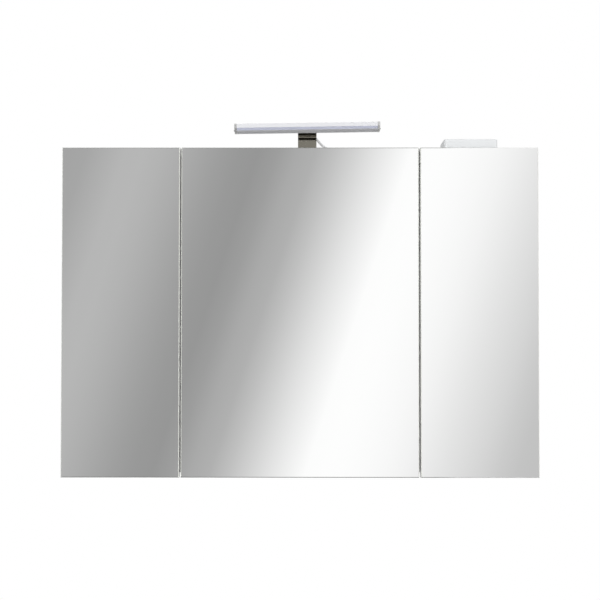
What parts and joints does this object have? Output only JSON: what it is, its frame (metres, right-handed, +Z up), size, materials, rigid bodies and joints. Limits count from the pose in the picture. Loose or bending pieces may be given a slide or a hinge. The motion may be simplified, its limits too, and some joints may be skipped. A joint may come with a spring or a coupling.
{
  "type": "bathroom mirror cabinet",
  "caption": "Wall cabinet with mirror doors on concealed hinges, glass shelves inside and a slim lamp bar on a bracket above its top panel.",
  "frame": {"origin": "midway between the two hanger holes, on the plane of the wall", "axes": "+X to the right along the cabinet's width, +Y into the wall, +Z up"},
  "size_m": [1, 0.2625, 0.7347],
  "materials": {
    "white_board": "white melamine on chipboard, fine pearl texture",
    "back_sheet": "white lacquered fibreboard",
    "mirror": "silvered float glass with a ground rim",
    "shelf_glass": "clear float glass, polished edges",
    "hinge_nickel": "nickel plated",
    "screw_steel": "zinc plated",
    "hanger_steel": "zinc plated",
    "cam_zinc": "cast zinc",
    "dowel_beech": "bare beech",
    "bumper_clear": "clear soft plastic",
    "bracket_chrome": "polished chrome",
    "lamp_aluminium": "white coated",
    "lamp_opal": "opal acrylic",
    "circuit": "green solder mask",
    "led": "yellow phosphor",
    "cable_sheath": "soft light grey sheath",
    "box_plastic": "moulded, fine spark texture",
    "terminal_plastic": "moulded"
  },
  "bodies": {
    "carcass": {"left_side_panel": "white_board", "right_side_panel": "white_board", "top_panel": "white_board", "bottom_panel": "white_board", "left_divider": "white_board", "right_divider": "white_board", "back_panel": "back_sheet", "left_shelves": "shelf_glass", "centre_shelves": "shelf_glass", "right_shelves": "shelf_glass", "side_hinge_arms": "hinge_nickel", "centre_hinge_arms": "hinge_nickel", "hinge_plates": "hinge_nickel", "hanger_screws": "screw_steel", "hinge_plate_screws": "screw_steel", "hinge_adjusters": "screw_steel", "bracket_screws": "screw_steel", "lamp_fixing_screws": "screw_steel", "supply_lid_screws": "screw_steel", "hanger_plates": "hanger_steel", "shelf_pins": "hanger_steel", "cam_bolts": "hanger_steel", "cam_locks": "cam_zinc", "dowels": "dowel_beech", "lamp_bracket": "bracket_chrome", "lamp_end_caps": "bracket_chrome", "lamp_housing": "lamp_aluminium", "lamp_diffuser": "lamp_opal", "led_board": "circuit", "supply_board": "circuit", "led_chips": "led", "lamp_cable": "cable_sheath", "cable_grommet": "cable_sheath", "supply_base": "box_plastic", "supply_lid": "box_plastic", "cable_gland": "box_plastic", "mains_inlet": "box_plastic", "terminal_block": "terminal_plastic"},
    "left_door": {"left_door_board": "white_board", "left_mirror": "mirror", "left_hinge_cups": "hinge_nickel", "left_hinge_pins": "hinge_nickel", "left_cup_screws": "screw_steel", "left_bumpers": "bumper_clear"},
    "centre_door": {"centre_door_board": "white_board", "centre_mirror": "mirror", "centre_hinge_cups": "hinge_nickel", "centre_hinge_pins": "hinge_nickel", "centre_cup_screws": "screw_steel", "centre_bumpers": "bumper_clear"},
    "right_door": {"right_door_board": "white_board", "right_mirror": "mirror", "right_hinge_cups": "hinge_nickel", "right_hinge_pins": "hinge_nickel", "right_cup_screws": "screw_steel", "right_bumpers": "bumper_clear"}
  },
  "joints": [
    {"name": "left_door_swing", "type": "hinge", "parent": "carcass", "child": "left_door", "pos_m": [-0.491, -0.1925, 0], "axis": [0, 0, -1], "range_deg": [0, 95]},
    {"name": "centre_door_swing", "type": "hinge", "parent": "carcass", "child": "centre_door", "pos_m": [-0.241, -0.1925, 0], "axis": [0, 0, -1], "range_deg": [0, 95]},
    {"name": "right_door_swing", "type": "hinge", "parent": "carcass", "child": "right_door", "pos_m": [0.491, -0.1925, 0], "axis": [0, 0, 1], "range_deg": [0, 95]}
  ]
}
